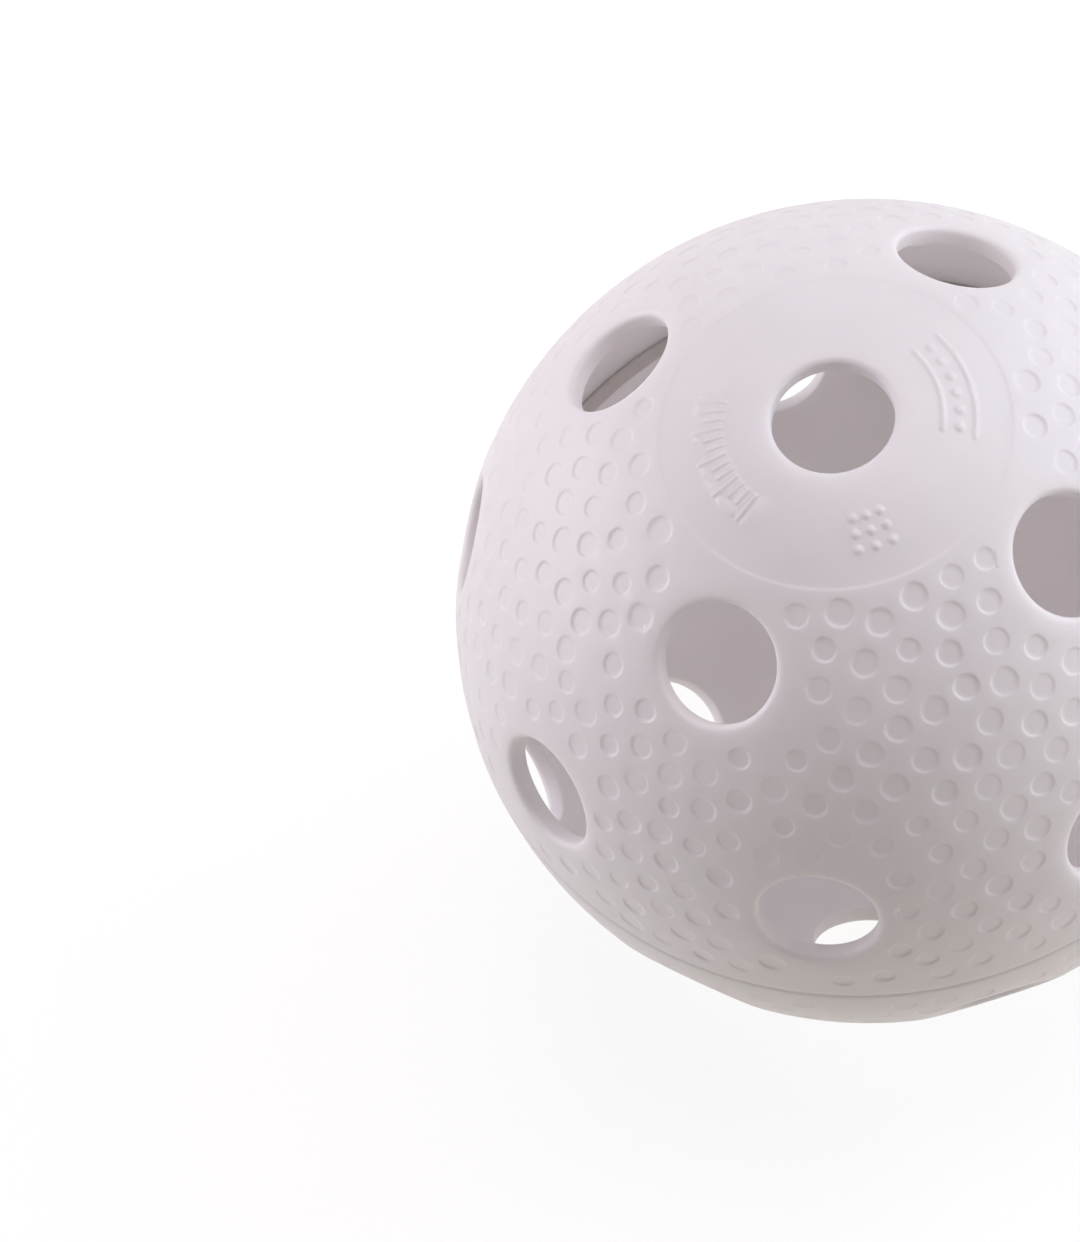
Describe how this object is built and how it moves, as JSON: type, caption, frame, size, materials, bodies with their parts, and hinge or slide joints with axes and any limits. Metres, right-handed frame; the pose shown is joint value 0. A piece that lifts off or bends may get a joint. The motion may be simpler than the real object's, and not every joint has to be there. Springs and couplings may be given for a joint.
{
  "type": "floorball ball",
  "caption": "Hollow perforated plastic ball made of two moulded half shells that are lapped and welded together at the seam.",
  "frame": {"origin": "centre of the ball", "axes": "+Z through the two pole holes, towards the upper half; the seam lies in the XY plane; +X through one hole of the upper half's inner ring"},
  "size_m": [0.072, 0.072, 0.0708],
  "materials": {
    "shell": "satin white moulded polyethylene with small dimples",
    "weld": "dull, uneven melted polyethylene"
  },
  "bodies": {
    "root": {"upper_half_shell": "shell", "lower_half_shell": "shell", "weld_bead": "weld"}
  },
  "joints": []
}
